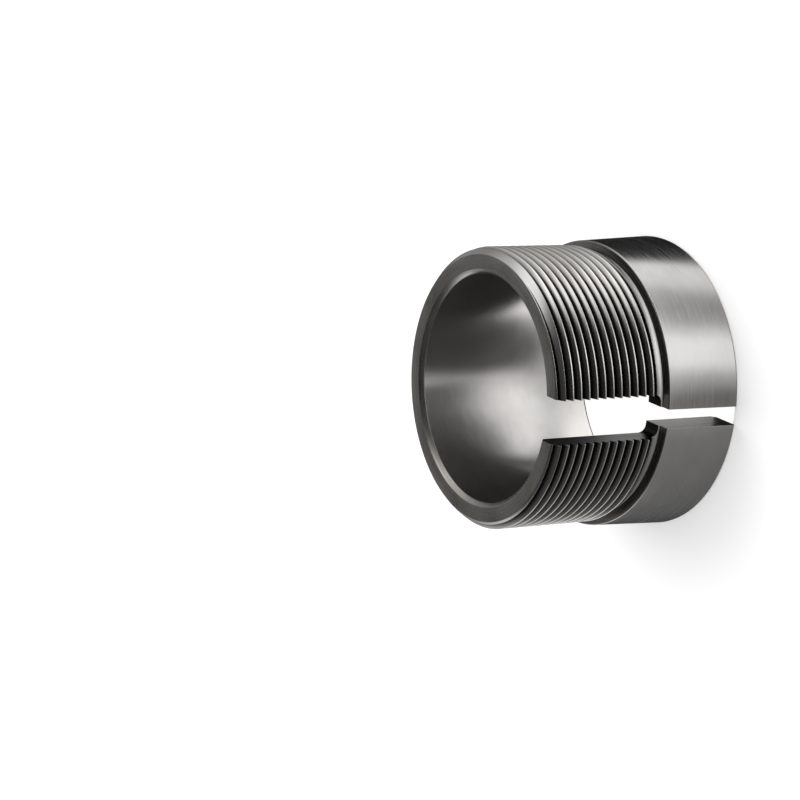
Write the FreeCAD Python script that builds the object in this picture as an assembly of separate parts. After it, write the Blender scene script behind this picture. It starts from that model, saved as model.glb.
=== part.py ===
import FreeCAD
import Part
import math
import os

# Split tapered clamping sleeve with a threaded end and a keyway slot for the lock washer's tab.
# The sleeve stands on its wide plain end. +Z runs along the bore, towards the threaded end.
# The slot and the slit lie on the -Y side. All lengths are in millimetres.

# Overall length
LENGTH = 33.0

# Threaded end: a right-hand metric thread, M45 x 1.5
THREAD_D = 45.0
PITCH = 1.5
THREAD_LENGTH = 20.0
FLANK_ANGLE = 60.0
CREST_PER_PITCH = 0.125
THREAD_START_ANGLE = 220.0

# Wall from the thread's crests in to the bore, which it leaves at 1 7/16 inch, 36.5125 mm
WALL = 4.24375
BORE_CHAMFER = 0.7

# Undercut between the thread and the shoulder, with a floor that rises to the shoulder
UNDERCUT_BELOW_ROOT = 0.05
UNDERCUT_PER_PITCH = 0.7
UNDERCUT_RISE = 0.2

# Tapered body, 1 in 12 on the diameter
TAPER_RATIO = 12.0
SHOULDER_STEP = 0.7
SHOULDER_BEVEL = 0.15
END_BEVEL = 0.3

# Keyway slot through the threaded wall, and the slit through the rest of the wall
SLOT_WIDTH = 7.0
SLOT_CORNER_R = 1.2
SLOT_END_LAND = 0.3
SLIT_WIDTH = 3.0

# How far a cutting shape runs past the face that it opens
OVERRUN = 2.0
GROOVE_OVERRUN = 0.1

crest_r = THREAD_D / 2.0
bore_r = crest_r - WALL
flank_run = math.tan(math.radians(FLANK_ANGLE / 2.0))
groove_half = PITCH * (1.0 - CREST_PER_PITCH) / 2.0
root_r = crest_r - groove_half / flank_run
undercut_r = root_r - UNDERCUT_BELOW_ROOT
undercut_width = UNDERCUT_PER_PITCH * PITCH
shoulder_z = LENGTH - THREAD_LENGTH
shoulder_r = crest_r + SHOULDER_STEP
wide_r = shoulder_r + shoulder_z / (2.0 * TAPER_RATIO)
slot_end_z = shoulder_z + SLOT_END_LAND


def body_radius(z):
    """Outer radius of the tapered body at height z."""
    return wide_r - z / (2.0 * TAPER_RATIO)


def turned(section):
    """Solid turned about the bore's axis from (radius, height) corners."""
    corners = [FreeCAD.Vector(r, 0.0, z) for r, z in section]
    face = Part.Face(Part.makePolygon(corners + corners[:1]))
    return face.revolve(FreeCAD.Vector(0, 0, 0), FreeCAD.Vector(0, 0, 1), 360.0)


def turned_blank():
    """Blank with its bore, taper, shoulder, undercut and chamfers, before the thread and the slots."""
    end_chamfer = crest_r - undercut_r
    undercut_top = shoulder_z + undercut_width
    return turned([
        (bore_r, BORE_CHAMFER),
        (bore_r + BORE_CHAMFER, 0.0),
        (wide_r - END_BEVEL, 0.0),
        (body_radius(END_BEVEL), END_BEVEL),
        (body_radius(shoulder_z - SHOULDER_BEVEL), shoulder_z - SHOULDER_BEVEL),
        (shoulder_r - SHOULDER_BEVEL, shoulder_z),
        (undercut_r + UNDERCUT_RISE, shoulder_z),
        (undercut_r, undercut_top),
        (crest_r, undercut_top + end_chamfer * flank_run),
        (crest_r, LENGTH - end_chamfer),
        (undercut_r, LENGTH),
        (bore_r + BORE_CHAMFER, LENGTH),
        (bore_r, LENGTH - BORE_CHAMFER),
    ])


def groove_section(z):
    """V section of the thread groove at the start of its helix, centred at height z."""
    outer = groove_half + GROOVE_OVERRUN * flank_run
    outer_r = crest_r + GROOVE_OVERRUN
    corners = [
        FreeCAD.Vector(root_r, 0.0, z),
        FreeCAD.Vector(outer_r, 0.0, z - outer),
        FreeCAD.Vector(outer_r, 0.0, z + outer),
    ]
    return Part.Wire(Part.makePolygon(corners + corners[:1]))


def thread_groove():
    """Right-hand helical groove from the undercut to past the threaded end."""
    start_z = shoulder_z + groove_half + 2.0 * GROOVE_OVERRUN
    turns = math.ceil((LENGTH + PITCH - start_z) / PITCH)
    path = Part.makeHelix(PITCH, turns * PITCH, crest_r)
    path.translate(FreeCAD.Vector(0, 0, start_z))
    sweep = Part.Wire(path).makePipeShell([groove_section(start_z)], True, True)
    sweep.rotate(FreeCAD.Vector(0, 0, 0), FreeCAD.Vector(0, 0, 1), THREAD_START_ANGLE)
    return sweep


def threaded_stock():
    """Stock longer and thicker than the sleeve, so that the groove starts and stops inside it."""
    low = -OVERRUN
    high = LENGTH + 4.0 * PITCH
    inner_r = bore_r - OVERRUN
    outer_r = wide_r + OVERRUN
    stock = turned([
        (inner_r, low),
        (outer_r, low),
        (outer_r, shoulder_z),
        (crest_r, shoulder_z),
        (crest_r, high),
        (inner_r, high),
    ])
    return stock.cut(thread_groove())


def keyway_slot():
    """Slot through the threaded wall, open at the threaded end, with rounded inner corners."""
    half = SLOT_WIDTH / 2.0
    top = LENGTH + OVERRUN
    low_arc = slot_end_z + SLOT_CORNER_R
    inner = half - SLOT_CORNER_R
    lean = SLOT_CORNER_R * (1.0 - math.sqrt(0.5))

    def at(x, z):
        return FreeCAD.Vector(x, 0.0, z)

    edges = [
        Part.LineSegment(at(-half, top), at(-half, low_arc)),
        Part.Arc(at(-half, low_arc), at(lean - half, slot_end_z + lean), at(-inner, slot_end_z)),
        Part.LineSegment(at(-inner, slot_end_z), at(inner, slot_end_z)),
        Part.Arc(at(inner, slot_end_z), at(half - lean, slot_end_z + lean), at(half, low_arc)),
        Part.LineSegment(at(half, low_arc), at(half, top)),
        Part.LineSegment(at(half, top), at(-half, top)),
    ]
    outline = Part.Wire([edge.toShape() for edge in edges])
    return Part.Face(outline).extrude(FreeCAD.Vector(0, -(wide_r + OVERRUN), 0))


def wall_slit():
    """Narrow slit that lets the sleeve close on its shaft, from the wide end into the slot."""
    reach = wide_r + OVERRUN
    corner = FreeCAD.Vector(-SLIT_WIDTH / 2.0, -reach, -OVERRUN)
    return Part.makeBox(SLIT_WIDTH, reach, slot_end_z + 2.0 * OVERRUN, corner)


def sleeve():
    """The finished sleeve as one solid."""
    threaded = threaded_stock().common(turned_blank())
    return threaded.cut(keyway_slot().fuse(wall_slit())).Solids[0]


def main():
    """Write the sleeve to its file."""
    os.makedirs("parts", exist_ok=True)
    shape = sleeve()
    shape.exportStep("parts/sleeve.step")
    print("sleeve valid", shape.isValid(), "volume", round(shape.Volume, 2))


main()
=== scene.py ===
import logging
import math
from dataclasses import dataclass, field
from enum import Enum, IntEnum
from typing import Any, Sequence

import bpy
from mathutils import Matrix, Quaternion, Vector


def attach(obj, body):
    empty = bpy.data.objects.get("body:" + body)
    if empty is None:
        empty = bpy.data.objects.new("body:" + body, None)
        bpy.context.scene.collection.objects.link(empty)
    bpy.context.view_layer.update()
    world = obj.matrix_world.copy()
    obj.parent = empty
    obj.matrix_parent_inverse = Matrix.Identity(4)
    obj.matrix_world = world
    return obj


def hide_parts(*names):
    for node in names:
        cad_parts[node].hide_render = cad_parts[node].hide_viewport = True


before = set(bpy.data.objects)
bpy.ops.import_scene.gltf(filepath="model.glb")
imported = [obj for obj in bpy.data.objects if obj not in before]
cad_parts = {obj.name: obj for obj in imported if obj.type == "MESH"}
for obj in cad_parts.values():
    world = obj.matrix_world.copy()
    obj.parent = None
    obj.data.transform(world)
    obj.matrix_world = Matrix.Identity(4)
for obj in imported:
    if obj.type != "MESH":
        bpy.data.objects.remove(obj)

LOG = logging.getLogger("sleeve")
MM = 0.001
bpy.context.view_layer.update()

Colour = tuple[float, float, float, float]
Stops = Sequence[tuple[float, float]]
Tree = bpy.types.NodeTree
Socket = bpy.types.NodeSocket


def colour(hex_code: str) -> Colour:
    """Turns an sRGB colour into Blender's linear one.

    Args:
        hex_code: six hexadecimal digits, such as "8C8A86".

    Returns:
        Linear red, green, blue and full alpha.
    """
    channels = [int(hex_code[i:i + 2], 16) / 255.0 for i in (0, 2, 4)]
    linear = [c / 12.92 if c <= 0.04045 else ((c + 0.055) / 1.055) ** 2.4 for c in channels]
    return (linear[0], linear[1], linear[2], 1.0)


def grey(level: float) -> Colour:
    """A neutral linear colour of one level."""
    return (level, level, level, 1.0)


def add_node(tree: Tree, kind: str, inputs: dict[Any, Any] | None = None, **settings: Any) -> bpy.types.Node:
    """Adds a node with its settings, its values and its links.

    Args:
        tree: the node tree that gets the node.
        kind: Blender's name for the node's type.
        inputs: value or output socket for each input, by name or number.
        settings: the node's own properties, set before its inputs.

    Returns:
        The new node.
    """
    node = tree.nodes.new(kind)
    for name, value in settings.items():
        setattr(node, name, value)
    for key, value in (inputs or {}).items():
        if isinstance(value, Socket):
            tree.links.new(value, node.inputs[key])
        else:
            node.inputs[key].default_value = value
    return node


def mark_faces(tree: Tree, mesh: Any, zone: Any) -> Socket:
    """Files the finish of each face of a mesh under the name that the materials are chosen by.

    Args:
        tree: the tree being built.
        mesh: geometry socket of the mesh.
        zone: number of the finish, or the socket that gives it.

    Returns:
        The geometry socket of the marked mesh.
    """
    inputs = {"Geometry": mesh, "Name": "zone", "Value": zone}
    marked = add_node(tree, "GeometryNodeStoreNamedAttribute", inputs, data_type="INT", domain="FACE")
    return marked.outputs[0]


class Zone(IntEnum):
    """The surfaces of the sleeve that were finished in different ways."""

    GROUND = 1
    BORED = 2
    FACED = 3
    THREADED = 4
    MILLED = 5


@dataclass(frozen=True)
class SleeveSizes:
    """The sleeve's sizes in millimetres: an M45 x 1.5 thread on a 1 in 12 tapered body.

    Args:
        crest_per_pitch: width of a crest's flat as a share of the pitch.
        thread_start_angle: where the groove starts round the bore, in degrees from +X.
        wall: from the bore to the crests.
        undercut_below_root: how much deeper the undercut is than the grooves.
        undercut_per_pitch: width of the undercut's floor as a share of the pitch.
        undercut_rise: how far that floor rises to the shoulder.
        undercut_fillet: how far the arc between that floor and the shoulder reaches.
        taper_ratio: length over which the body's diameter grows by 1.
        shoulder_step: from the crests out to the body at the shoulder.
        slot_end_land: how far above the shoulder the slot ends.
        groove_gap: from the shoulder to the lower edge of the groove where it starts.
        edge_break: how far a broken edge reaches; crest_round and root_round are the same on the thread.
        overrun: how far the stock and the slot's cutter reach past the sleeve.
    """

    length: float = 33.0
    thread_d: float = 45.0
    pitch: float = 1.5
    thread_length: float = 20.0
    crest_per_pitch: float = 0.125
    thread_start_angle: float = 75.0
    wall: float = 4.24375
    bore_chamfer: float = 0.7
    undercut_below_root: float = 0.05
    undercut_per_pitch: float = 0.7
    undercut_rise: float = 0.2
    undercut_fillet: float = 0.25
    taper_ratio: float = 12.0
    shoulder_step: float = 0.7
    shoulder_bevel: float = 0.15
    end_bevel: float = 0.3
    slot_width: float = 7.0
    slot_corner_r: float = 1.2
    slot_end_land: float = 0.3
    slit_width: float = 3.0
    groove_gap: float = 0.2
    edge_break: float = 0.06
    crest_round: float = 0.09
    root_round: float = 0.07
    overrun: float = 2.0

    @property
    def crest_r(self) -> float:
        """Radius to the thread's crests."""
        return self.thread_d / 2.0

    @property
    def bore_r(self) -> float:
        """Radius of the bore."""
        return self.crest_r - self.wall

    @property
    def flank_run(self) -> float:
        """How far a 60 degree thread's flank runs along the axis for each millimetre of depth."""
        return math.tan(math.radians(30.0))

    @property
    def root_r(self) -> float:
        """Radius to the bottom of the thread's groove."""
        return self.crest_r - self.pitch * (1.0 - self.crest_per_pitch) / 2.0 / self.flank_run

    @property
    def undercut_r(self) -> float:
        """Radius of the undercut below the thread."""
        return self.root_r - self.undercut_below_root

    @property
    def shoulder_z(self) -> float:
        """Height of the shoulder where the tapered body ends."""
        return self.length - self.thread_length

    @property
    def undercut_top(self) -> float:
        """Height where the undercut's floor ends."""
        return self.shoulder_z + self.undercut_per_pitch * self.pitch

    @property
    def shoulder_r(self) -> float:
        """Radius of the body at the shoulder."""
        return self.crest_r + self.shoulder_step

    def body_r(self, z: float) -> float:
        """Radius of the tapered body at height z."""
        return self.shoulder_r + (self.shoulder_z - z) / (2.0 * self.taper_ratio)

    @property
    def slot_end_z(self) -> float:
        """Height of the keyway slot's closed end."""
        return self.shoulder_z + self.slot_end_land

    @property
    def covered_r(self) -> float:
        """Radius within which the standing sleeve hides the table around its bore."""
        return self.body_r(0.0) - 2.0 * self.end_bevel

    @property
    def root_z_at_slot(self) -> float:
        """Height of one groove's bottom at the middle of the slot."""
        start = self.shoulder_z + self.pitch * (1.0 - self.crest_per_pitch) / 2.0 + self.groove_gap
        return start + self.pitch * (270.0 - self.thread_start_angle) / 360.0


@dataclass
class Section:
    """A closed outline in the plane of radius and height, corner by corner, for a turned shape.

    Args:
        points: radius and height of each corner.
        zones: finish of the surface from each corner to the next.
        helical: 1 for a corner that climbs with the thread, 0 for one that stays level.
    """

    points: list[tuple[float, float]] = field(default_factory=list)
    zones: list[int] = field(default_factory=list)
    helical: list[float] = field(default_factory=list)

    def corner(self, r: float, z: float, zone: Zone, helical: bool = False) -> None:
        """Adds one sharp corner.

        Args:
            r: radius of the corner.
            z: height of the corner.
            zone: finish of the surface from this corner to the next.
            helical: whether the corner climbs with the thread.
        """
        self.points.append((r, z))
        self.zones.append(int(zone))
        self.helical.append(1.0 if helical else 0.0)

    def softened(self, breaks: Sequence[float], steps: int = 2) -> "Section":
        """Breaks the corners with small arcs.

        Args:
            breaks: how far each corner's arc reaches along both of its sides, 0 for a sharp corner.
            steps: number of straight pieces in an arc.

        Returns:
            The section with its corners broken.
        """
        made = Section()
        count = len(self.points)
        for i, reach in enumerate(breaks):
            here = Vector(self.points[i])
            before = (Vector(self.points[i - 1]) - here).normalized() * reach
            after = (Vector(self.points[(i + 1) % count]) - here).normalized() * reach
            for k in range(steps + 1 if reach > 0.0 else 1):
                t = k / steps if reach > 0.0 else 0.0
                spot = here + before * (1.0 - t) ** 2 + after * t ** 2
                made.points.append((spot.x, spot.y))
                made.zones.append(self.zones[i] if k == steps or reach == 0.0 else self.zones[i - 1])
                made.helical.append(self.helical[i])
        return made

    def to_object(self, name: str) -> bpy.types.Object:
        """Makes the outline a mesh of points that a node tree can read.

        Args:
            name: name of the helper object.

        Returns:
            The helper object, not linked to any scene.
        """
        mesh = bpy.data.meshes.new(name)
        mesh.from_pydata([(r, 0.0, z) for r, z in self.points], [], [])
        zone = mesh.attributes.new("zone", "INT", "POINT")
        zone.data.foreach_set("value", self.zones)
        helical = mesh.attributes.new("helical", "FLOAT", "POINT")
        helical.data.foreach_set("value", self.helical)
        return bpy.data.objects.new(name, mesh)


class RingTree:
    """Node group that turns a section's points into a closed ring; helical ones climb with the thread."""

    SOCKETS = (
        ("Section", "NodeSocketGeometry"),
        ("Rows", "NodeSocketInt"),
        ("Columns", "NodeSocketInt"),
        ("Pitch", "NodeSocketFloat"),
        ("Crest Radius", "NodeSocketFloat"),
        ("Thread Floor", "NodeSocketFloat"),
        ("Floor Step", "NodeSocketFloat"),
        ("Start Angle", "NodeSocketFloat"),
    )
    MERGE_MM = 0.0004
    # Each row: name of the result, operation, and names of what goes in
    COUNTS = (
        ("column", "DIVIDE_FLOOR", "index", "ring_rows"),
        ("place", "MODULO", "index", "ring_rows"),
        ("row", "MODULO", "place", "Rows"),
    )
    SUMS = (
        ("turns", "DIVIDE", "column", "Columns"),
        ("share", "FRACT", "turns"),
        ("rise", "MULTIPLY", "share", "Pitch"),
        ("climb", "MULTIPLY", "rise", "helical"),
        ("height", "ADD", "level", "climb"),
        ("floor", "MULTIPLY_ADD", "row", "Floor Step", "Thread Floor"),
        ("below", "LESS_THAN", "height", "floor"),
        ("sunk", "MULTIPLY", "below", "helical"),
        ("angle", "MULTIPLY_ADD", "share", "full_turn", "Start Angle"),
        ("cosine", "COSINE", "angle"),
        ("sine", "SINE", "angle"),
    )

    def build(self) -> Tree:
        """Builds the group.

        Returns:
            The node group.
        """
        tree = bpy.data.node_groups.new("Turned ring", "GeometryNodeTree")
        for name, kind in self.SOCKETS:
            tree.interface.new_socket(name=name, in_out="INPUT", socket_type=kind)
        tree.interface.new_socket(name="Ring", in_out="OUTPUT", socket_type="NodeSocketGeometry")
        given = add_node(tree, "NodeGroupInput").outputs
        ring_rows, ring_columns = (
            add_node(tree, "FunctionNodeIntegerMath", {0: given[name], 1: 1}, operation="ADD").outputs[0]
            for name in ("Rows", "Columns")
        )
        grid = add_node(tree, "GeometryNodeMeshGrid", {"Vertices X": ring_columns, "Vertices Y": ring_rows})
        index = add_node(tree, "GeometryNodeInputIndex").outputs[0]
        placed = self._place(tree, given, grid.outputs["Mesh"], index, ring_rows)
        faced = self._zone(tree, given, placed, index)
        merged = add_node(tree, "GeometryNodeMergeByDistance", {"Geometry": faced, "Distance": self.MERGE_MM})
        add_node(tree, "NodeGroupOutput", {"Ring": merged.outputs[0]})
        return tree

    @staticmethod
    def _work_out(tree: Tree, kind: str, known: dict[str, Any], rows: Sequence[tuple]) -> None:
        """Adds a node for each row of a table of sums.

        Args:
            tree: the group being built.
            kind: Blender's name for the type of node that does these sums.
            known: sockets and numbers by name, to which each result is added.
            rows: the table.
        """
        for result, operation, *operands in rows:
            inputs = {number: known[name] for number, name in enumerate(operands)}
            known[result] = add_node(tree, kind, inputs, operation=operation).outputs[0]

    def _place(self, tree: Tree, given: Any, mesh: Any, index: Any, ring_rows: Any) -> Socket:
        """Sets each grid point to its place on the ring.

        Args:
            tree: the group being built.
            given: the group's input sockets.
            mesh: the flat grid.
            index: the point's number.
            ring_rows: number of points along one column.

        Returns:
            The geometry socket of the ring.
        """
        known = {name: given[name] for name, _ in self.SOCKETS}
        known.update(index=index, ring_rows=ring_rows, full_turn=math.tau)
        self._work_out(tree, "FunctionNodeIntegerMath", known, self.COUNTS)
        inputs = {"Geometry": given["Section"], "Index": known["row"]}
        inputs["Value"] = add_node(tree, "GeometryNodeInputPosition").outputs[0]
        corner = add_node(tree, "GeometryNodeSampleIndex", inputs, data_type="FLOAT_VECTOR", domain="POINT")
        flag = add_node(tree, "GeometryNodeInputNamedAttribute", {"Name": "helical"}, data_type="FLOAT")
        inputs["Value"] = flag.outputs[0]
        helical = add_node(tree, "GeometryNodeSampleIndex", inputs, data_type="FLOAT", domain="POINT")
        split = add_node(tree, "ShaderNodeSeparateXYZ", {0: corner.outputs[0]}).outputs
        known.update(helical=helical.outputs[0], level=split[2])
        self._work_out(tree, "ShaderNodeMath", known, self.SUMS)
        pairs = ((split[0], given["Crest Radius"]), (known["height"], known["floor"]))
        radius, height = (
            add_node(tree, "ShaderNodeMix", {0: known["sunk"], 2: a, 3: b}, data_type="FLOAT").outputs[0]
            for a, b in pairs
        )
        x, y = (
            add_node(tree, "ShaderNodeMath", {0: radius, 1: known[part]}, operation="MULTIPLY").outputs[0]
            for part in ("cosine", "sine")
        )
        spot = add_node(tree, "ShaderNodeCombineXYZ", {0: x, 1: y, 2: height}).outputs[0]
        return add_node(tree, "GeometryNodeSetPosition", {"Geometry": mesh, "Position": spot}).outputs[0]

    def _zone(self, tree: Tree, given: Any, mesh: Any, index: Any) -> Socket:
        """Marks each face with its section corner's finish.

        Args:
            tree: the group being built.
            given: the group's input sockets.
            mesh: the ring.
            index: the face's number.

        Returns:
            The geometry socket of the marked ring.
        """
        inputs = {0: index, 1: given["Rows"]}
        row = add_node(tree, "FunctionNodeIntegerMath", inputs, operation="MODULO").outputs[0]
        mark = add_node(tree, "GeometryNodeInputNamedAttribute", {"Name": "zone"}, data_type="INT").outputs[0]
        inputs = {"Geometry": given["Section"], "Value": mark, "Index": row}
        zone = add_node(tree, "GeometryNodeSampleIndex", inputs, data_type="INT", domain="POINT").outputs[0]
        return mark_faces(tree, mesh, zone)


@dataclass
class ThreadedSleeve:
    """The split sleeve: its blank, its thread, its slots and its finishes.

    Args:
        sizes: the sleeve's sizes.
        finishes: the material for each zone.
        columns: number of faces round the ring.
        floor_step: millimetres between the levels at which the helical corners are sunk in the undercut.
        envelope_margin: how far the blank reaches past the crests, in millimetres.
        sliver: points closer than this, in millimetres, are merged after each cut.
        corner_steps: number of straight pieces in each of the slot's inner corners.
        smooth_below_deg: faces that meet at less than this angle are shaded smooth.
    """

    sizes: SleeveSizes
    finishes: dict[Zone, bpy.types.Material]
    columns: int = 400
    floor_step: float = 0.002
    envelope_margin: float = 0.4
    sliver: float = 0.002
    corner_steps: int = 8
    smooth_below_deg: float = 38.0

    def blank_section(self) -> Section:
        """Outline of the turned blank, wider than the thread so that its chamfers cut the crests.

        Returns:
            The section with its edges broken.
        """
        s = self.sizes
        chamfer = s.crest_r - s.undercut_r
        margin = self.envelope_margin
        bevel_z = s.shoulder_z - s.shoulder_bevel
        corners = (
            (s.bore_r, s.bore_chamfer, Zone.FACED, s.edge_break),
            (s.bore_r + s.bore_chamfer, 0.0, Zone.FACED, s.edge_break),
            (s.body_r(0.0) - s.end_bevel, 0.0, Zone.FACED, s.edge_break),
            (s.body_r(s.end_bevel), s.end_bevel, Zone.GROUND, s.edge_break),
            (s.body_r(bevel_z), bevel_z, Zone.FACED, s.edge_break),
            (s.shoulder_r - s.shoulder_bevel, s.shoulder_z, Zone.FACED, s.edge_break),
            (s.undercut_r + s.undercut_rise, s.shoulder_z, Zone.GROUND, s.undercut_fillet),
            (s.undercut_r, s.undercut_top, Zone.FACED, s.edge_break),
            (s.crest_r + margin, s.undercut_top + (chamfer + margin) * s.flank_run, Zone.FACED, 0.0),
            (s.crest_r + margin, s.length - chamfer - margin, Zone.GROUND, 0.0),
            (s.undercut_r, s.length, Zone.FACED, s.edge_break),
            (s.bore_r + s.bore_chamfer, s.length, Zone.FACED, s.edge_break),
            (s.bore_r, s.length - s.bore_chamfer, Zone.BORED, s.edge_break),
        )
        section = Section()
        for r, z, zone, _ in corners:
            section.corner(r, z, zone)
        return section.softened([reach for *_, reach in corners])

    def stock_section(self) -> Section:
        """Outline of the threaded stock, longer than the sleeve so that the thread runs out of both ends.

        Returns:
            The section with rounded crests and roots.
        """
        s = self.sizes
        inner, outer = s.bore_r - s.overrun, s.body_r(0.0) + s.overrun
        step_z = self.thread_floor - self.floor_step
        section = Section()
        section.corner(inner, -s.overrun, Zone.THREADED)
        section.corner(outer, -s.overrun, Zone.THREADED)
        section.corner(outer, step_z, Zone.THREADED)
        section.corner(s.crest_r, step_z, Zone.THREADED)
        breaks = [0.0] * 4
        half_crest = s.crest_per_pitch * s.pitch / 2.0
        root_z = s.root_z_at_slot - 2.0 * s.pitch
        while root_z < s.length + s.pitch:
            section.corner(s.root_r, root_z, Zone.THREADED, helical=True)
            for side in (-1.0, 1.0):
                crest_z = root_z + s.pitch / 2.0 + side * half_crest
                section.corner(s.crest_r, crest_z, Zone.THREADED, helical=True)
            breaks += [s.root_round, s.crest_round, s.crest_round]
            root_z += s.pitch
        high = root_z + 2.0 * s.pitch
        section.corner(s.crest_r, high, Zone.THREADED)
        section.corner(inner, high, Zone.THREADED)
        return section.softened(breaks + [0.0, 0.0], steps=3)

    @property
    def thread_floor(self) -> float:
        """Height inside the undercut below which the stock has no thread."""
        return (self.sizes.shoulder_z + self.sizes.undercut_top) / 2.0

    def slot_outline(self) -> bpy.types.Object:
        """Outline of the keyway slot and the slit, as seen from the side.

        Returns:
            A helper object with one closed ring of edges, x across and y down the sleeve, as the sweep
            takes it.
        """
        s = self.sizes
        wide, narrow, r = s.slot_width / 2.0, s.slit_width / 2.0, s.slot_corner_r
        right = [(narrow, -s.overrun), (narrow, s.slot_end_z)]
        for k in range(self.corner_steps + 1):
            a = math.radians(-90.0 + 90.0 * k / self.corner_steps)
            right.append((wide - r + r * math.cos(a), s.slot_end_z + r + r * math.sin(a)))
        right.append((wide, s.length + s.overrun))
        outline = right + [(-x, z) for x, z in reversed(right)]
        mesh = bpy.data.meshes.new("slot_outline")
        count = len(outline)
        mesh.from_pydata([(x, -z, 0.0) for x, z in outline], [(i, (i + 1) % count) for i in range(count)], [])
        return bpy.data.objects.new("slot_outline", mesh)

    def tree(self) -> Tree:
        """Builds the tree that turns, threads and slots the sleeve.

        Returns:
            The geometry node tree.
        """
        tree = bpy.data.node_groups.new("Threaded sleeve", "GeometryNodeTree")
        for name, kind in (
            ("Blank Section", "NodeSocketGeometry"),
            ("Stock Section", "NodeSocketObject"),
            ("Slot Outline", "NodeSocketObject"),
            ("Columns", "NodeSocketInt"),
            ("Pitch", "NodeSocketFloat"),
            ("Crest Radius", "NodeSocketFloat"),
            ("Thread Floor", "NodeSocketFloat"),
            ("Slot Reach", "NodeSocketFloat"),
            ("Scale", "NodeSocketFloat"),
        ):
            tree.interface.new_socket(name=name, in_out="INPUT", socket_type=kind)
        tree.interface.new_socket(name="Sleeve", in_out="OUTPUT", socket_type="NodeSocketGeometry")
        given = add_node(tree, "NodeGroupInput").outputs
        ring = RingTree().build()
        stock_points = add_node(tree, "GeometryNodeObjectInfo", {"Object": given["Stock Section"]})
        blank = self._ring(tree, ring, given, given["Blank Section"])
        stock = self._ring(tree, ring, given, stock_points.outputs["Geometry"])
        inputs = {"Mesh 2": blank}
        turned = add_node(tree, "GeometryNodeMeshBoolean", inputs, operation="INTERSECT", solver="EXACT")
        tree.links.new(stock, turned.inputs["Mesh 2"])
        inputs = {"Geometry": turned.outputs[0], "Distance": self.sliver}
        clean = add_node(tree, "GeometryNodeMergeByDistance", inputs).outputs[0]
        inputs = {"Mesh 1": clean, "Mesh 2": self._cutter(tree, given)}
        slotted = add_node(tree, "GeometryNodeMeshBoolean", inputs, operation="DIFFERENCE", solver="EXACT")
        inputs = {"Geometry": slotted.outputs[0], "Distance": self.sliver}
        clean = add_node(tree, "GeometryNodeMergeByDistance", inputs).outputs[0]
        scale = add_node(tree, "ShaderNodeCombineXYZ", {axis: given["Scale"] for axis in range(3)})
        inputs = {"Geometry": clean, "Scale": scale.outputs[0]}
        shape = add_node(tree, "GeometryNodeTransform", inputs).outputs[0]
        shape = add_node(tree, "GeometryNodeRealizeInstances", {"Geometry": shape}).outputs[0]
        zone = add_node(tree, "GeometryNodeInputNamedAttribute", {"Name": "zone"}, data_type="INT").outputs[0]
        for kind, material in self.finishes.items():
            chosen = add_node(
                tree, "FunctionNodeCompare", {2: zone, 3: int(kind)}, data_type="INT", operation="EQUAL",
            ).outputs[0]
            inputs = {"Geometry": shape, "Selection": chosen, "Material": material}
            shape = add_node(tree, "GeometryNodeSetMaterial", inputs).outputs[0]
        add_node(tree, "NodeGroupOutput", {"Sleeve": shape})
        return tree

    def _ring(self, tree: Tree, ring: Tree, given: Any, section: Any) -> Socket:
        """Turns one section.

        Args:
            tree: the tree being built.
            ring: the group that turns a section.
            given: the tree's input sockets.
            section: geometry socket with the section's points.

        Returns:
            The geometry socket of the ring.
        """
        count = add_node(tree, "GeometryNodeAttributeDomainSize", {0: section}, component="MESH")
        inputs = {
            "Section": section,
            "Rows": count.outputs["Point Count"],
            "Floor Step": self.floor_step,
            # The ring's seam lies towards -Y, where the slot and the slit take it away
            "Start Angle": -math.pi / 2.0,
        }
        for name in ("Columns", "Pitch", "Crest Radius", "Thread Floor"):
            inputs[name] = given[name]
        return add_node(tree, "GeometryNodeGroup", inputs, node_tree=ring).outputs[0]

    @staticmethod
    def _drop_empty_slots(mesh: bpy.types.Mesh) -> None:
        """Removes the material slots that hold nothing, which the cuts leave behind.

        Args:
            mesh: the sleeve's mesh.
        """
        for number in reversed(range(len(mesh.materials))):
            if mesh.materials[number] is None:
                mesh.materials.pop(index=number)

    @staticmethod
    def _cutter(tree: Tree, given: Any) -> Socket:
        """Makes the slot's outline a closed prism that runs out through the wall.

        Args:
            tree: the tree being built.
            given: the tree's input sockets.

        Returns:
            The geometry socket of the prism.
        """
        outline = add_node(tree, "GeometryNodeObjectInfo", {"Object": given["Slot Outline"]})
        profile = add_node(tree, "GeometryNodeMeshToCurve", {0: outline.outputs["Geometry"]}).outputs[0]
        end = add_node(tree, "ShaderNodeCombineXYZ", {1: given["Slot Reach"]}).outputs[0]
        rail = add_node(tree, "GeometryNodeCurvePrimitiveLine", {"Start": end, "End": (0.0, 0.0, 0.0)})
        inputs = {"Curve": rail.outputs[0], "Profile Curve": profile, "Fill Caps": True}
        prism = add_node(tree, "GeometryNodeCurveToMesh", inputs).outputs[0]
        prism = add_node(tree, "GeometryNodeFlipFaces", {0: prism}).outputs[0]
        return mark_faces(tree, prism, int(Zone.MILLED))

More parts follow.
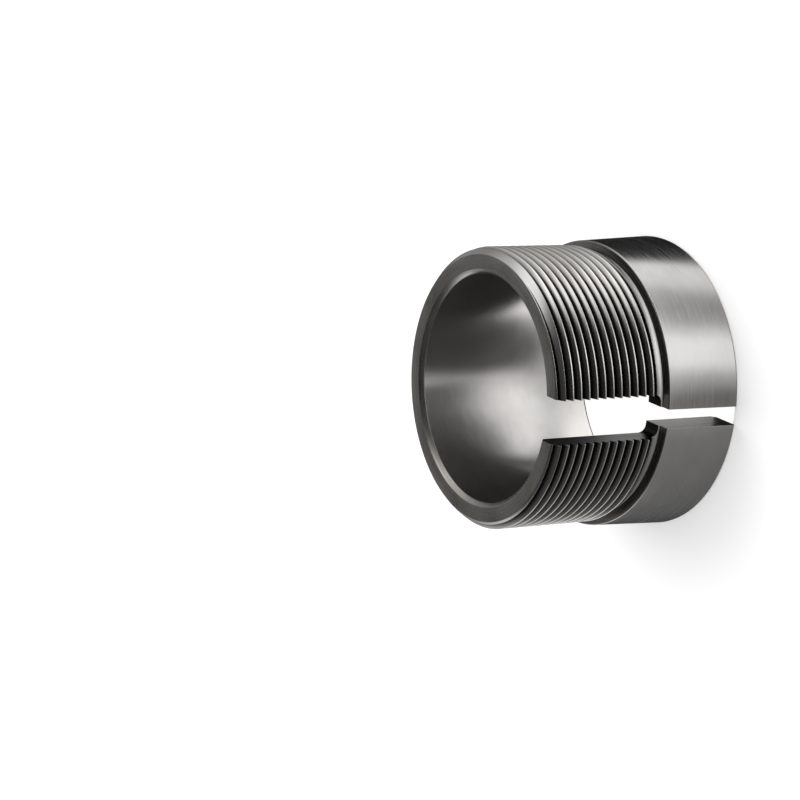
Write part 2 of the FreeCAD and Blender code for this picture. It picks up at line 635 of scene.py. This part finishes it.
    def build(self) -> bpy.types.Object:
        """Makes the sleeve as one plain mesh, in metres, where the frame has it.

        Returns:
            The finished object.
        """
        s = self.sizes
        base = self.blank_section().to_object("blank_section")
        helpers = [base, self.stock_section().to_object("stock_section"), self.slot_outline()]
        bpy.context.scene.collection.objects.link(base)
        modifier = base.modifiers.new("Turn, thread and slot", "NODES")
        modifier.node_group = self.tree()
        values = {
            "Stock Section": helpers[1],
            "Slot Outline": helpers[2],
            "Columns": self.columns,
            "Pitch": s.pitch,
            "Crest Radius": s.crest_r,
            "Thread Floor": self.thread_floor,
            "Slot Reach": -(s.body_r(0.0) + s.overrun),
            "Scale": MM,
        }
        for socket in modifier.node_group.interface.items_tree:
            if socket.in_out == "INPUT" and socket.name in values:
                modifier[socket.identifier] = values[socket.name]
        graph = bpy.context.evaluated_depsgraph_get()
        mesh = bpy.data.meshes.new_from_object(base.evaluated_get(graph), depsgraph=graph)
        base.modifiers.remove(modifier)
        self._drop_empty_slots(mesh)
        for helper in helpers:
            bpy.data.objects.remove(helper)
        mesh.name = "threaded_sleeve"
        mesh.shade_smooth()
        mesh.set_sharp_from_angle(angle=math.radians(self.smooth_below_deg))
        sleeve = bpy.data.objects.new("threaded_sleeve", mesh)
        bpy.context.scene.collection.objects.link(sleeve)
        return sleeve


class Lay(Enum):
    """Which way the fine marks of a finish run."""

    ROUND_THE_BORE = "turned"
    ALONG_THE_BORE = "milled"


@dataclass(frozen=True)
class SteelFinish:
    """Bare medium-carbon steel with the marks that one tool left on it.

    Args:
        name: name of the material.
        tone: colour of the clean metal.
        shade: colour of its dull patches.
        roughness: how far the surface scatters a reflection.
        spread: how much the roughness changes from mark to mark.
        mark_mm: distance between the marks; the real ones are finer, and are drawn as coarse as they
            need to show.
        depth_mm: depth of the marks.
        patch_mm: size of the dull patches.
        lay: which way the marks run.
        anisotropy: how much a highlight is drawn out across the marks.
        stretch: how slowly the marks change along themselves.
        edge_mm: how far the light is softened over a sharp edge, as deburring leaves it.
    """

    name: str
    tone: str
    shade: str
    roughness: float
    spread: float
    mark_mm: float
    depth_mm: float
    patch_mm: float = 7.0
    lay: Lay = Lay.ROUND_THE_BORE
    anisotropy: float = 0.5
    stretch: float = 0.03
    edge_mm: float = 0.12
    # Values of the noise between which the marks, and the patches, go from none to full
    MARK_RANGE = (0.3, 0.7)
    PATCH_RANGE = (0.35, 0.7)

    def material(self) -> bpy.types.Material:
        """Builds the node material.

        Returns:
            The material.
        """
        material = bpy.data.materials.new(self.name)
        material.use_nodes = True
        tree = material.node_tree
        tree.nodes.clear()
        marks = self._marks(tree)
        patches = self._patches(tree)
        ramp = add_node(tree, "ShaderNodeMapRange", {
            "Value": marks,
            "From Min": self.MARK_RANGE[0],
            "From Max": self.MARK_RANGE[1],
            "To Min": self.roughness - self.spread,
            "To Max": self.roughness + self.spread,
        })
        tone = self._tone(tree, patches)
        edge = add_node(tree, "ShaderNodeBevel", {"Radius": self.edge_mm * MM}, samples=4)
        bump = add_node(tree, "ShaderNodeBump", {
            "Strength": 1.0,
            "Distance": self.depth_mm * MM,
            "Height": marks,
            "Normal": edge.outputs[0],
        })
        tangent = add_node(tree, "ShaderNodeTangent", direction_type="RADIAL", axis="Z")
        shader = add_node(tree, "ShaderNodeBsdfPrincipled", {
            "Base Color": tone,
            "Metallic": 1.0,
            "Roughness": ramp.outputs[0],
            "Anisotropic": self.anisotropy,
            "Anisotropic Rotation": 0.25,
            "Normal": bump.outputs[0],
            "Tangent": tangent.outputs[0],
        })
        add_node(tree, "ShaderNodeOutputMaterial", {"Surface": shader.outputs[0]})
        return material

    def _tone(self, tree: Tree, patches: Any) -> Socket:
        """Clean metal with its dull patches."""
        inputs = {0: patches, 6: colour(self.tone), 7: colour(self.shade)}
        return add_node(tree, "ShaderNodeMix", inputs, data_type="RGBA").outputs[2]

    @staticmethod
    def _radius(tree: Tree, place: Any) -> Socket:
        """Distance from the bore's axis.

        Args:
            tree: the material's node tree.
            place: the point's place.

        Returns:
            The distance's socket, in the unit of the place.
        """
        split = add_node(tree, "ShaderNodeSeparateXYZ", {0: place}).outputs
        flat = add_node(tree, "ShaderNodeCombineXYZ", {0: split[0], 1: split[1]}).outputs[0]
        return add_node(tree, "ShaderNodeVectorMath", {0: flat}, operation="LENGTH").outputs["Value"]

    def _millimetres(self, tree: Tree) -> Socket:
        """The point's place in millimetres.

        Args:
            tree: the material's node tree.

        Returns:
            The place's socket.
        """
        place = add_node(tree, "ShaderNodeTexCoord").outputs["Object"]
        scale = {0: place, "Scale": 1.0 / MM}
        return add_node(tree, "ShaderNodeVectorMath", scale, operation="SCALE").outputs[0]

    def _marks(self, tree: Tree) -> Socket:
        """Long thin marks, from noise that changes fast across the lay and slowly along it.

        Args:
            tree: the material's node tree.

        Returns:
            The noise's value socket.
        """
        place = self._millimetres(tree)
        radius = self._radius(tree, place)
        fine = 1.0 / self.mark_mm
        along = fine * self.stretch
        factors = (along, along, fine if self.lay is Lay.ROUND_THE_BORE else along)
        stretched = add_node(tree, "ShaderNodeVectorMath", {0: place, 1: factors}, operation="MULTIPLY")
        across = add_node(tree, "ShaderNodeMath", {0: radius, 1: fine}, operation="MULTIPLY")
        inputs = {
            "Vector": stretched.outputs[0],
            "W": across.outputs[0],
            "Scale": 1.0,
            "Detail": 2.0,
            "Roughness": 0.6,
        }
        return add_node(tree, "ShaderNodeTexNoise", inputs, noise_dimensions="4D").outputs[0]

    def _patches(self, tree: Tree) -> Socket:
        """Soft dull patches, as handling and oil leave on bare steel.

        Args:
            tree: the material's node tree.

        Returns:
            A share from 0, clean, to 1, dull.
        """
        inputs = {"Vector": self._millimetres(tree), "Scale": 1.0 / self.patch_mm, "Detail": 4.0}
        noise = add_node(tree, "ShaderNodeTexNoise", inputs).outputs[0]
        inputs = {"Value": noise, "From Min": self.PATCH_RANGE[0], "From Max": self.PATCH_RANGE[1]}
        return add_node(tree, "ShaderNodeMapRange", inputs).outputs[0]


@dataclass(frozen=True)
class ThreadFinish(SteelFinish):
    """Cut thread: the crests get a bright tone that is painted highlight, and painted shade darkens the
    grooves towards their roots.

    Args:
        painted_root_shade: colour of the painted shade in the bottom of the grooves.
        root_r: radius in millimetres where the painted shade is darkest.
        crest_r: radius in millimetres where the painted shade ends and the crests' bright tone is full.
    """

    # Painted shade in the grooves, under the crests' painted highlight
    painted_root_shade: str = "35322F"
    root_r: float = 21.7
    crest_r: float = 22.45

    def _tone(self, tree: Tree, patches: Any) -> Socket:
        """Bright tone at the crests, painted highlight, and darker towards the roots, painted shade.

        Args:
            tree: the material's node tree.
            patches: share of dull metal.

        Returns:
            The colour socket.
        """
        radius = self._radius(tree, self._millimetres(tree))
        inputs = {"Value": radius, "From Min": self.root_r, "From Max": self.crest_r}
        share = add_node(tree, "ShaderNodeMapRange", inputs).outputs[0]
        clean = super()._tone(tree, patches)
        inputs = {0: share, 6: colour(self.painted_root_shade), 7: clean}
        return add_node(tree, "ShaderNodeMix", inputs, data_type="RGBA").outputs[2]


@dataclass(frozen=True)
class SlotFinish(SteelFinish):
    """Milled slot over a sawn slit: painted shade darkens the slit, and the slot more.

    Args:
        painted_slot_shade: colour of the painted shade on the slot's walls.
        slot_z: height in millimetres of the slot's closed end.
        fade_mm: how far above and below that height the tone changes.
    """

    # Painted shade on the slot's walls
    painted_slot_shade: str = "262423"
    slot_z: float = 0.0
    fade_mm: float = 0.5

    def _tone(self, tree: Tree, patches: Any) -> Socket:
        """Dark metal in the slit, darker in the slot: painted shade.

        Args:
            tree: the material's node tree.
            patches: share of dull metal.

        Returns:
            The colour socket.
        """
        height = add_node(tree, "ShaderNodeSeparateXYZ", {0: self._millimetres(tree)}).outputs[2]
        ends = {"From Min": self.slot_z - self.fade_mm, "From Max": self.slot_z + self.fade_mm}
        share = add_node(tree, "ShaderNodeMapRange", {"Value": height, **ends}).outputs[0]
        inputs = {0: share, 6: super()._tone(tree, patches), 7: colour(self.painted_slot_shade)}
        return add_node(tree, "ShaderNodeMix", inputs, data_type="RGBA").outputs[2]


@dataclass(frozen=True)
class PhotoView:
    """Where the photograph was taken from, in the sleeve's own frame.

    The sleeve lies on its side there and stands here, so the view is rolled.

    Args:
        aim_mm: point in the middle of the picture.
        distance_mm: from that point to the camera.
        azimuth: angle round the bore in degrees, from -Y towards +X.
        elevation: angle above the table.
        roll: how far the camera is turned about its own line of sight.
        lens_mm: focal length for Blender's default sensor.
        clip_m: nearest and furthest distance that the camera sees.
    """

    aim_mm: tuple[float, float, float] = (-1.1, -0.32, 47.8)
    distance_mm: float = 374.6
    azimuth: float = 16.02
    elevation: float = 30.35
    roll: float = 93.16
    lens_mm: float = 108.3
    clip_m: tuple[float, float] = (0.01, 10.0)

    @property
    def back(self) -> Vector:
        """Direction from the aim to the camera."""
        a, e = math.radians(self.azimuth), math.radians(self.elevation)
        return Vector((math.sin(a) * math.cos(e), -math.cos(a) * math.cos(e), math.sin(e)))

    @property
    def near(self) -> Vector:
        """Level direction towards the camera's side."""
        a = math.radians(self.azimuth)
        return Vector((math.sin(a), -math.cos(a), 0.0))

    @property
    def top(self) -> Vector:
        """Level direction that is up in the photograph."""
        a = math.radians(self.azimuth)
        return Vector((math.cos(a), math.sin(a), 0.0))

    def add_camera(self) -> bpy.types.Object:
        """Makes the scene's camera.

        Returns:
            The camera object.
        """
        data = bpy.data.cameras.new("photo_view")
        data.lens = self.lens_mm
        data.clip_start, data.clip_end = self.clip_m
        camera = bpy.data.objects.new("photo_view", data)
        bpy.context.scene.collection.objects.link(camera)
        camera.location = (Vector(self.aim_mm) + self.back * self.distance_mm) * MM
        camera.rotation_mode = "QUATERNION"
        upright = (-self.back).to_track_quat("-Z", "Y")
        camera.rotation_quaternion = upright @ Quaternion((0.0, 0.0, 1.0), -math.radians(self.roll))
        bpy.context.scene.camera = camera
        return camera


@dataclass(frozen=True)
class Surroundings:
    """The studio that the bare metal mirrors, as brightness by direction round the bore.

    Args:
        view: the photograph's view; bearings are counted from its side, positive to the photograph's top.
        level: brightness that matt surfaces get from the world.
        low: (bearing, brightness) pairs, in degrees, for what is mirrored from below the sleeve's level.
        level_belt: the same for what lies level with the sleeve.
        high: the same for what lies well above it.
        zenith: brightness straight up the bore.
        steps: the heights, as the sine of the angle above level, between which the pairs of low pass into
            those of level_belt, these into those of high, and these into the zenith.
        second_share: share of the light left where metal mirrors metal, as in the bore and the grooves.
    """

    view: PhotoView
    level: float = 0.9
    low: Stops = (
        (-180, 0.02), (-160, 0.05), (-130, 0.13), (-90, 0.18), (-50, 0.23), (-36, 0.33), (-26, 0.22),
        (-16, 0.18), (0, 0.6), (11, 1.2), (28, 1.2), (44, 0.52), (56, 0.4), (68, 0.52), (80, 1.05),
        (100, 1.15), (109, 0.02), (150, 0.01), (180, 0.02),
    )
    level_belt: Stops = (
        (-180, 0.35), (-155, 0.4), (-135, 1.0), (-110, 1.0), (-85, 0.35), (-50, 0.3), (-20, 0.5), (0, 1.1),
        (20, 1.5), (45, 1.5), (65, 1.2), (80, 1.2), (101, 1.1), (116, 0.3), (140, 0.3), (180, 0.35),
    )
    high: Stops = (
        (-180, 0.16), (-140, 0.07), (-90, 0.05), (-40, 0.05), (0, 0.05), (50, 0.08), (70, 0.3), (82, 0.9),
        (94, 1.4), (104, 1.3), (116, 0.75), (128, 0.6), (140, 0.45), (152, 0.25), (180, 0.12),
    )
    zenith: float = 0.02
    steps: tuple[tuple[float, float], ...] = ((-0.42, -0.1), (0.1, 0.45), (0.84, 0.97))
    second_share: float = 0.03

    def add_world(self) -> None:
        """Makes the scene's world: white to the camera, level to matt surfaces and the studio to mirrors."""
        world = bpy.data.worlds.new("studio")
        bpy.context.scene.world = world
        world.use_nodes = True
        tree = world.node_tree
        tree.nodes.clear()
        look = add_node(tree, "ShaderNodeTexCoord").outputs["Generated"]
        bearing = self._bearing(tree, look)
        height = add_node(tree, "ShaderNodeSeparateXYZ", {0: look}).outputs[2]
        low, level_belt, high = (
            self.ramp(tree, stops, bearing, 360.0) for stops in (self.low, self.level_belt, self.high)
        )
        studio = low
        for (below, above), next_up in zip(self.steps, (level_belt, high, grey(self.zenith))):
            inputs = {"Value": height, "From Min": below, "From Max": above}
            rise = add_node(tree, "ShaderNodeMapRange", inputs, interpolation_type="SMOOTHSTEP").outputs[0]
            inputs = {0: rise, 6: studio, 7: next_up}
            studio = add_node(tree, "ShaderNodeMix", inputs, data_type="RGBA").outputs[2]
        ray = add_node(tree, "ShaderNodeLightPath").outputs
        seen = grey(self.level)
        sights = {"Is Glossy Ray": studio, "Is Transmission Ray": grey(1.0), "Is Camera Ray": grey(1.0)}
        for kind, sight in sights.items():
            inputs = {0: ray[kind], 6: seen, 7: sight}
            seen = add_node(tree, "ShaderNodeMix", inputs, data_type="RGBA").outputs[2]
        inputs = {"Color": seen, "Strength": self.first_look(tree)}
        background = add_node(tree, "ShaderNodeBackground", inputs)
        add_node(tree, "ShaderNodeOutputWorld", {"Surface": background.outputs[0]})

    def first_look(self, tree: Tree) -> Socket:
        """Full strength for what metal mirrors at once, and less where it mirrors itself first.

        Args:
            tree: the world's or a material's node tree.

        Returns:
            The strength socket.
        """
        depth = add_node(tree, "ShaderNodeLightPath").outputs["Glossy Depth"]
        inputs = {"Value": depth, "From Min": 1.0, "From Max": 2.0, "To Min": 1.0}
        inputs["To Max"] = self.second_share
        return add_node(tree, "ShaderNodeMapRange", inputs).outputs[0]

    def _bearing(self, tree: Tree, look: Any) -> Socket:
        """Direction round the bore as a share of a turn, 0.5 towards the camera's side.

        Args:
            tree: the world's node tree.
            look: the direction that is looked in.

        Returns:
            The share's socket.
        """
        parts = {}
        for number, way in enumerate((self.view.top, self.view.near)):
            inputs = {0: look, 1: tuple(way)}
            dot = add_node(tree, "ShaderNodeVectorMath", inputs, operation="DOT_PRODUCT")
            parts[number] = dot.outputs["Value"]
        angle = add_node(tree, "ShaderNodeMath", parts, operation="ARCTAN2").outputs[0]
        inputs = {0: angle, 1: 1.0 / math.tau, 2: 0.5}
        return add_node(tree, "ShaderNodeMath", inputs, operation="MULTIPLY_ADD").outputs[0]

    @staticmethod
    def ramp(tree: Tree, stops: Stops, share: Any, span: float) -> Socket:
        """Brightness by place along a line or round a circle.

        Args:
            tree: the world's or a material's node tree.
            stops: (place, brightness) pairs in rising order.
            share: the place as a share of the span, 0.5 in its middle.
            span: how far the places reach from one end to the other.

        Returns:
            The colour socket.
        """
        ramp = add_node(tree, "ShaderNodeValToRGB", {0: share})
        elements = ramp.color_ramp.elements
        while len(elements) < len(stops):
            elements.new(0.5)
        for element, (place, _) in zip(elements, stops):
            element.position = place / span + 0.5
        for element, (_, level) in zip(elements, stops):
            element.color = grey(level)
        return ramp.outputs[0]


@dataclass(frozen=True)
class Floor:
    """The plain white table that the sleeve stands on, with its lamp.

    Args:
        surroundings: the studio.
        bore_r: radius of the open bore, in millimetres.
        covered_r: radius, in millimetres, within which the table shows only through the bore and the slit,
            where the camera sees it white.
        half_width_mm: half the table's side.
        lamp_bearing: direction of the lamp round the bore, in degrees from +X.
        lamp_height: angle of the lamp above the table.
        lamp_strength: strength of the lamp.
        lamp_size: apparent width of the lamp in degrees.
        albedo: how much of the light the table gives back.
        glow: what the table adds of its own, so that it is white at a plain level of light.
        through: (place, brightness) pairs for the painted light on the table inside the bore, an emission
        that the bore's wall mirrors; places are shares of the bore's radius, from the photograph's bottom
        to its top.
        slant: how far the edges of that light lean over, for each millimetre towards the camera's side.
        wall_from: places, as shares of the bore's width towards the camera's side, between which the light
            turns over by the far wall and runs from the photograph's top to its bottom.
        wall_shift: how far the light is shifted there, as a share of the bore's radius.
    """

    surroundings: Surroundings
    bore_r: float
    covered_r: float
    half_width_mm: float = 3000.0
    lamp_bearing: float = 55.0
    lamp_height: float = 58.0
    lamp_strength: float = 0.9
    lamp_size: float = 40.0
    albedo: float = 0.9
    glow: float = 0.2
    through: Stops = (
        (-1.0, 0.004), (-0.75, 0.01), (-0.55, 0.08), (-0.45, 0.1), (-0.3, 0.04), (-0.2, 0.2), (-0.06, 1.0),
        (0.1, 1.45), (0.5, 1.7), (0.7, 1.8), (0.8, 0.9), (0.9, 0.1), (1.0, 0.05),
    )
    slant: float = 0.29
    wall_from: tuple[float, float] = (-0.2, -0.3)
    wall_shift: float = 0.1

    def build(self) -> list[bpy.types.Object]:
        """Makes the table and the lamp.

        Returns:
            The table and the lamp.
        """
        half = self.half_width_mm * MM
        mesh = bpy.data.meshes.new("table")
        corners = [(-half, -half, 0.0), (half, -half, 0.0), (half, half, 0.0), (-half, half, 0.0)]
        mesh.from_pydata(corners, [], [(0, 1, 2, 3)])
        mesh.materials.append(self._material())
        table = bpy.data.objects.new("table", mesh)
        light = bpy.data.lights.new("soft_lamp", "SUN")
        light.energy = self.lamp_strength
        light.angle = math.radians(self.lamp_size)
        lamp = bpy.data.objects.new("soft_lamp", light)
        a, e = math.radians(self.lamp_bearing), math.radians(self.lamp_height)
        back = Vector((math.cos(a) * math.cos(e), math.sin(a) * math.cos(e), math.sin(e)))
        lamp.rotation_mode = "QUATERNION"
        lamp.rotation_quaternion = (-back).to_track_quat("-Z", "Y")
        lamp.visible_glossy = False
        for made in (table, lamp):
            bpy.context.scene.collection.objects.link(made)
        return [table, lamp]

    def _material(self) -> bpy.types.Material:
        """White laminate that shows a soft shadow, with a painted pool of light inside the bore for the
        bore's wall to mirror.

        Returns:
            The table's material.
        """
        material = bpy.data.materials.new("white_laminate")
        material.use_nodes = True
        tree = material.node_tree
        tree.nodes.clear()
        place = add_node(tree, "ShaderNodeTexCoord").outputs["Object"]
        radius = add_node(tree, "ShaderNodeVectorMath", {0: place}, operation="LENGTH").outputs["Value"]
        bore, covered = (
            add_node(tree, "ShaderNodeMath", {0: radius, 1: reach * MM}, operation="LESS_THAN").outputs[0]
            for reach in (self.bore_r, self.covered_r)
        )
        matt = add_node(tree, "ShaderNodeBsdfDiffuse", {"Color": grey(self.albedo)})
        glow = add_node(tree, "ShaderNodeEmission", {"Strength": self.glow})
        lit = add_node(tree, "ShaderNodeAddShader", {0: matt.outputs[0], 1: glow.outputs[0]})
        white = add_node(tree, "ShaderNodeEmission", {"Strength": 1.0})
        inputs = {0: covered, 1: lit.outputs[0], 2: white.outputs[0]}
        seen = add_node(tree, "ShaderNodeMixShader", inputs)
        # Painted pool of light inside the bore: an emission that only mirrors see
        strength = {0: self._painted_bore_light(tree, place), 1: self.surroundings.first_look(tree)}
        strength = add_node(tree, "ShaderNodeMath", strength, operation="MULTIPLY").outputs[0]
        shown = add_node(tree, "ShaderNodeEmission", {"Strength": strength})
        clear = add_node(tree, "ShaderNodeBsdfTransparent")
        inputs = {0: bore, 1: clear.outputs[0], 2: shown.outputs[0]}
        mirrored = add_node(tree, "ShaderNodeMixShader", inputs)
        glossy = add_node(tree, "ShaderNodeLightPath").outputs["Is Glossy Ray"]
        inputs = {0: glossy, 1: seen.outputs[0], 2: mirrored.outputs[0]}
        surface = add_node(tree, "ShaderNodeMixShader", inputs)
        add_node(tree, "ShaderNodeOutputMaterial", {"Surface": surface.outputs[0]})
        return material

    def _painted_bore_light(self, tree: Tree, place: Any) -> Socket:
        """Painted light on the table in the bore, which the bore's wall mirrors: bright to the photograph's
        top, by the far wall to its bottom.

        Args:
            tree: the table's node tree.
            place: the point on the table, in metres.

        Returns:
            The brightness socket.
        """
        near, top = self.surroundings.view.near, self.surroundings.view.top
        radii_across = 2.0
        across = radii_across * self.bore_r * MM
        ways = (tuple(way / across) for way in (top + self.slant * near, -top, near))
        spread, by_wall, depth = (
            add_node(tree, "ShaderNodeVectorMath", {0: place, 1: way}, operation="DOT_PRODUCT")
            for way in ways
        )
        pools = []
        for along, shift in ((spread, 0.0), (by_wall, self.wall_shift)):
            inputs = {0: along.outputs["Value"], 1: 0.5 - shift / radii_across}
            share = add_node(tree, "ShaderNodeMath", inputs, operation="ADD").outputs[0]
            pools.append(self.surroundings.ramp(tree, self.through, share, radii_across))
        start, end = self.wall_from
        inputs = {"Value": depth.outputs["Value"], "From Min": start, "From Max": end}
        wall = add_node(tree, "ShaderNodeMapRange", inputs, interpolation_type="SMOOTHSTEP").outputs[0]
        mixed = {0: wall, 6: pools[0], 7: pools[1]}
        return add_node(tree, "ShaderNodeMix", mixed, data_type="RGBA").outputs[2]


def steel_finishes(sizes: SleeveSizes) -> dict[Zone, SteelFinish]:
    """The sleeve's finishes, one for each zone.

    Args:
        sizes: the sleeve's sizes.

    Returns:
        Finish by zone.
    """
    return {
        # Ground taper, with the undercut's floor and the front chamfer turned as smooth: satin, with fine
        # lines round it that soften the light into broad bands
        Zone.GROUND: SteelFinish(
            "steel_ground", tone="D0CECD", shade="C2C0BE", roughness=0.22, spread=0.06,
            mark_mm=0.2, depth_mm=0.0014, anisotropy=0.6,
        ),
        # Fine-bored inside: its rings draw every highlight out along the bore
        Zone.BORED: SteelFinish(
            "steel_bored", tone="D0CECC", shade="C2BFBC", roughness=0.24, spread=0.02,
            mark_mm=0.16, depth_mm=0.0003, anisotropy=0.75, stretch=0.06,
        ),
        # Faced ends, shoulder and bore chamfers: darker, with rings round the bore
        Zone.FACED: SteelFinish(
            "steel_faced", tone="C2BFBA", shade="A29E98", roughness=0.3, spread=0.1,
            mark_mm=0.35, depth_mm=0.012, anisotropy=0.3,
        ),
        # Cut thread: bright crests, painted highlight, over grooves darkened by painted shade
        Zone.THREADED: ThreadFinish(
            "steel_thread_cut", tone="F2F0EC", shade="D6D3CE", roughness=0.2, spread=0.05,
            mark_mm=0.16, depth_mm=0.002,
        ),
        # Milled slot and sawn slit: dull, with marks along the bore; their dark tone is painted shade
        Zone.MILLED: SlotFinish(
            "steel_milled", tone="4E4B49", shade="434140", roughness=0.42, spread=0.05,
            mark_mm=0.3, depth_mm=0.003, anisotropy=0.0, lay=Lay.ALONG_THE_BORE, slot_z=sizes.slot_end_z,
        ),
    }


def main() -> None:
    """Builds the view, the studio and the sleeve."""
    logging.basicConfig(level=logging.INFO, format="%(message)s")
    bpy.context.scene.view_settings.view_transform = "Standard"
    view = PhotoView()
    view.add_camera()
    studio = Surroundings(view)
    studio.add_world()
    sizes = SleeveSizes()
    for made in Floor(studio, sizes.bore_r, sizes.covered_r).build():
        LOG.info("%s: in place", made.name)
    finishes = {zone: finish.material() for zone, finish in steel_finishes(sizes).items()}
    sleeve = ThreadedSleeve(sizes, finishes).build()
    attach(sleeve, "root")
    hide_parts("sleeve")
    LOG.info("%s: %d faces, %d finishes", sleeve.name, len(sleeve.data.polygons), len(sleeve.data.materials))


if __name__ == "__main__":
    main()
